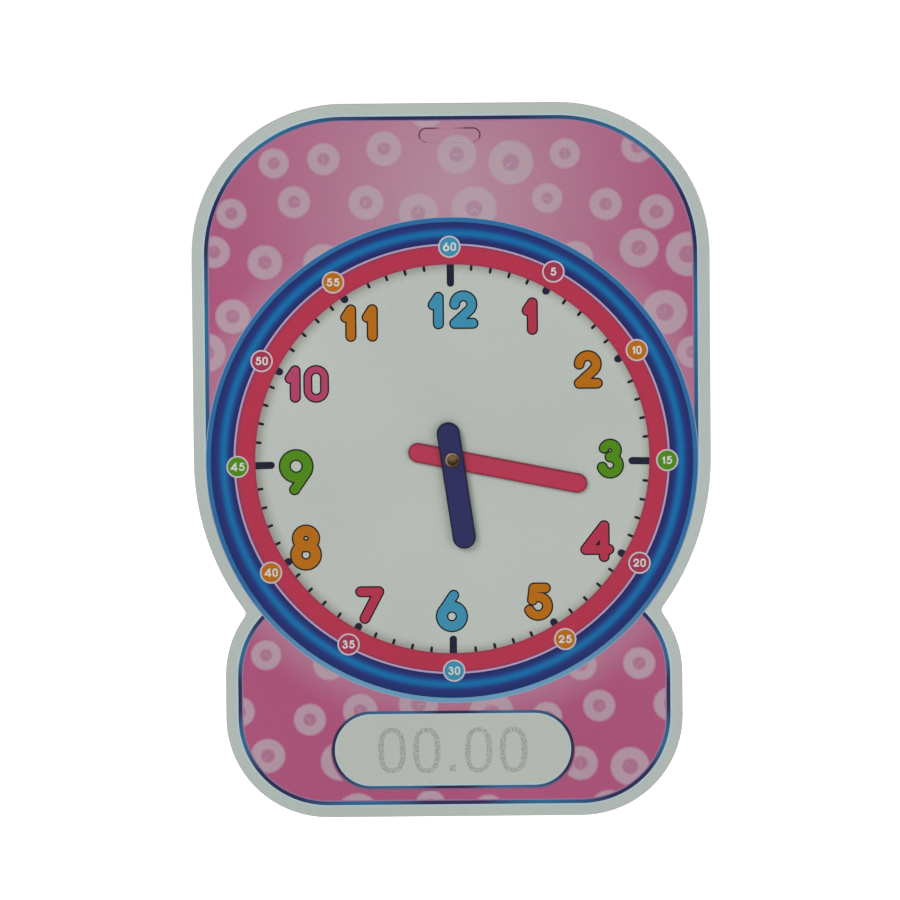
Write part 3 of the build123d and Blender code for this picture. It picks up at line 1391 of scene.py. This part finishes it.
@dataclass
class Studio:
    """Plain pale floor, soft light and a camera at the photograph's angle."""

    lamps: tuple[Lamp, ...] = (
        Lamp("key", (-1.0, -1.3, 1.1), 0.9, 19.0),
        Lamp("fill", (1.5, -1.2, 0.3), 1.2, 9.5),
        Lamp("back", (0.5, 1.5, 0.9), 1.0, 19.0),
    )
    ambient: float = 0.42
    floor_drop: float = 0.15
    floor_side: float = 60.0
    floor_glow: float = 0.72
    floor_colour: str = "#E6E6E4"
    floor_grain_mm: float = 40.0
    floor_roughness: Spread = Spread(0.0, 1.0, 0.85, 0.95)
    camera_distance: float = 9.0
    camera_rise_deg: float = 9.4
    camera_roll_deg: float = -0.5
    picture_width: float = 0.3618  # metres across the picture at the card's face
    aim: Point = (-0.9, 3.7)  # millimetres from the pivot, where the middle of the picture falls
    sensor: float = 36.0

    def build(self) -> None:
        """Set up everything around the clock."""
        self.make_world()
        self.make_floor()
        self.make_lamps()
        self.make_camera()

    def make_world(self) -> None:
        """Make the white surroundings, which light the object softly."""
        world = bpy.data.worlds.new("white_studio")
        bpy.context.scene.world = world
        world.use_nodes = True
        tree = world.node_tree
        tree.nodes.clear()
        strength = add_node(tree, "MapRange", {0: seen_directly(tree), 3: self.ambient, 4: 1.0})
        glow = add_node(tree, "Background", {"Color": (1.0, 1.0, 1.0, 1.0), "Strength": strength})
        add_node(tree, "OutputWorld", {"Surface": glow})

    def make_floor(self) -> None:
        """Make the floor under the hanging card: it looks white and still takes the shadow."""
        material, tree = new_material("matt_white_studio_floor")
        spot = add_node(tree, "TexCoord", output="Object")
        grain = add_node(tree, "TexNoise", {"Vector": spot, "Scale": per_metre(self.floor_grain_mm)})
        plain = {
            "Base Color": linear(self.floor_colour),
            "Roughness": add_node(tree, "MapRange", self.floor_roughness.of(grain)),
            "Specular IOR Level": 0.0,
        }
        strength = add_node(tree, "MapRange", {0: seen_directly(tree), 3: 0.0, 4: self.floor_glow})
        glow = add_node(tree, "Emission", {"Strength": strength})
        both = add_node(tree, "AddShader", {0: add_node(tree, "BsdfPrincipled", plain), 1: glow})
        add_node(tree, "OutputMaterial", {"Surface": both})
        half = self.floor_side / 2
        level = CAD_BOX[0].z - self.floor_drop
        data = bpy.data.meshes.new("studio_floor")
        corners = [(-half, -half, level), (half, -half, level), (half, half, level), (-half, half, level)]
        data.from_pydata(corners, [], [(0, 1, 2, 3)])
        data.materials.append(material)
        floor = bpy.data.objects.new("studio_floor", data)
        bpy.context.scene.collection.objects.link(floor)

    def make_lamps(self) -> None:
        """Make the soft lamps, turned to the card."""
        middle = (CAD_BOX[0] + CAD_BOX[1]) / 2
        for lamp in self.lamps:
            data = bpy.data.lights.new(lamp.name, "AREA")
            data.size, data.energy = lamp.side, lamp.watts
            light = bpy.data.objects.new(lamp.name, data)
            light.location = middle + Vector(lamp.place)
            light.rotation_mode = "QUATERNION"
            light.rotation_quaternion = (-Vector(lamp.place)).to_track_quat("-Z", "Y")
            bpy.context.scene.collection.objects.link(light)

    def make_camera(self) -> None:
        """Make the camera in front of the card and a little above it."""
        rise = math.radians(self.camera_rise_deg)
        away = Vector((0, -math.cos(rise), math.sin(rise)))
        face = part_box("face_film")[0].y
        target = Vector((self.aim[0] * MM, face, PIVOT.z + self.aim[1] * MM))
        data = bpy.data.cameras.new("camera")
        data.sensor_width = self.sensor
        data.lens = self.sensor * self.camera_distance / self.picture_width
        camera = bpy.data.objects.new("camera", data)
        camera.location = target + away * self.camera_distance
        camera.rotation_mode = "QUATERNION"
        roll = Quaternion((0, 0, 1), math.radians(self.camera_roll_deg))
        camera.rotation_quaternion = (-away).to_track_quat("-Z", "Y") @ roll
        bpy.context.scene.collection.objects.link(camera)
        bpy.context.scene.camera = camera
        bpy.context.scene.view_settings.view_transform = "Standard"


def main() -> None:
    """Build the clock's pieces in order, logging each one's faces and finishes, then the studio around it."""
    logging.basicConfig(level=logging.INFO, format="%(name)s: %(message)s")
    artwork = Artwork()
    assemblies = (
        CardPiece(
            "card",
            artwork,
            name="printed_face",
            film="face_film",
            paper="face_sheet",
            board="core_board",
            liner="back_sheet",
        ),
        CardPiece(
            "hang_tab",
            artwork,
            name="printed_hang_tab_face",
            film="hang_tab_film",
            paper="hang_tab_face",
            board="hang_tab_core",
            liner="hang_tab_back",
        ),
        Hand("minute_hand", Ink.HAND_RED, Ink.HAND_RED_EDGE, Board.RED_CARD, "crimson_paper"),
        Hand("hour_hand", Ink.HAND_NAVY, Ink.HAND_NAVY_EDGE, Board.NAVY_CARD, "navy_paper"),
        Rivet(),
    )
    for assembly in assemblies:
        for piece in assembly.build():
            faces, finishes = len(piece.data.polygons), len(piece.data.materials)
            log.info("%s: %d faces in %d finishes", piece.name, faces, finishes)
    Studio().build()


if __name__ == "__main__":
    main()
